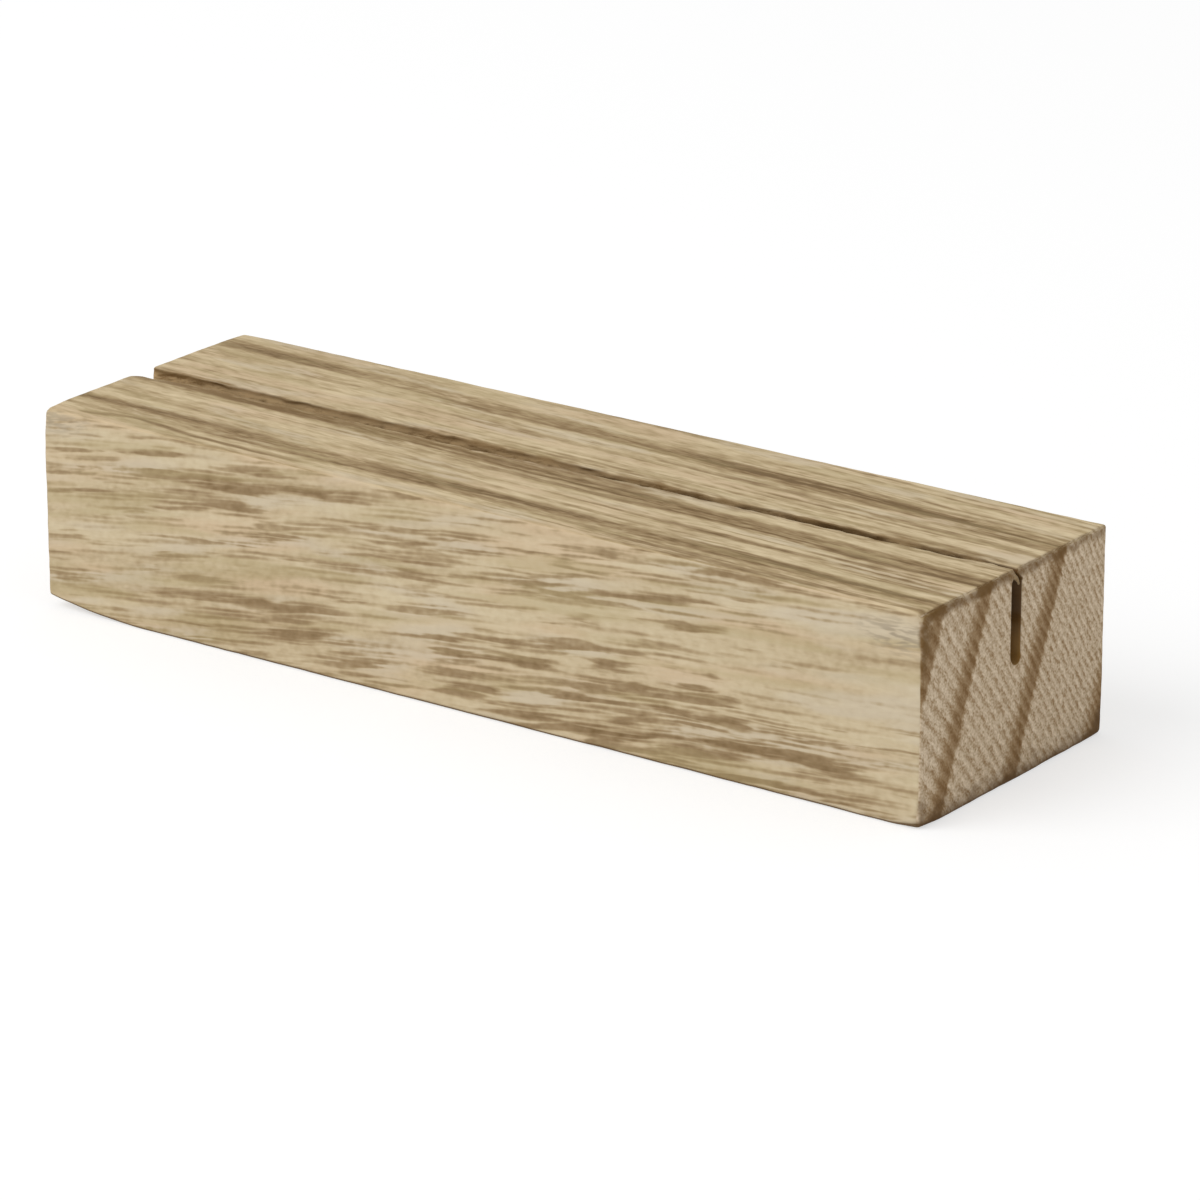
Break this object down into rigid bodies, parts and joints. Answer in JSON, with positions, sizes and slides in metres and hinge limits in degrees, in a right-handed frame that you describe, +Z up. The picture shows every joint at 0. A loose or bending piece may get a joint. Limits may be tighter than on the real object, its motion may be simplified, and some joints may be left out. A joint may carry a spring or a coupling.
{
  "type": "business card holder",
  "caption": "Solid wooden desk block with a narrow saw kerf along its top that stands a business card upright.",
  "frame": {"origin": "middle of the underside, on the surface that the block stands on", "axes": "+X along the kerf, towards the end grain that the picture shows; -Y is the front long side; +Z up, out of the kerf's mouth"},
  "size_m": [0.1, 0.03, 0.02],
  "materials": {
    "pale_timber": "matte"
  },
  "bodies": {
    "root": {"slotted_block": "pale_timber"}
  },
  "joints": []
}
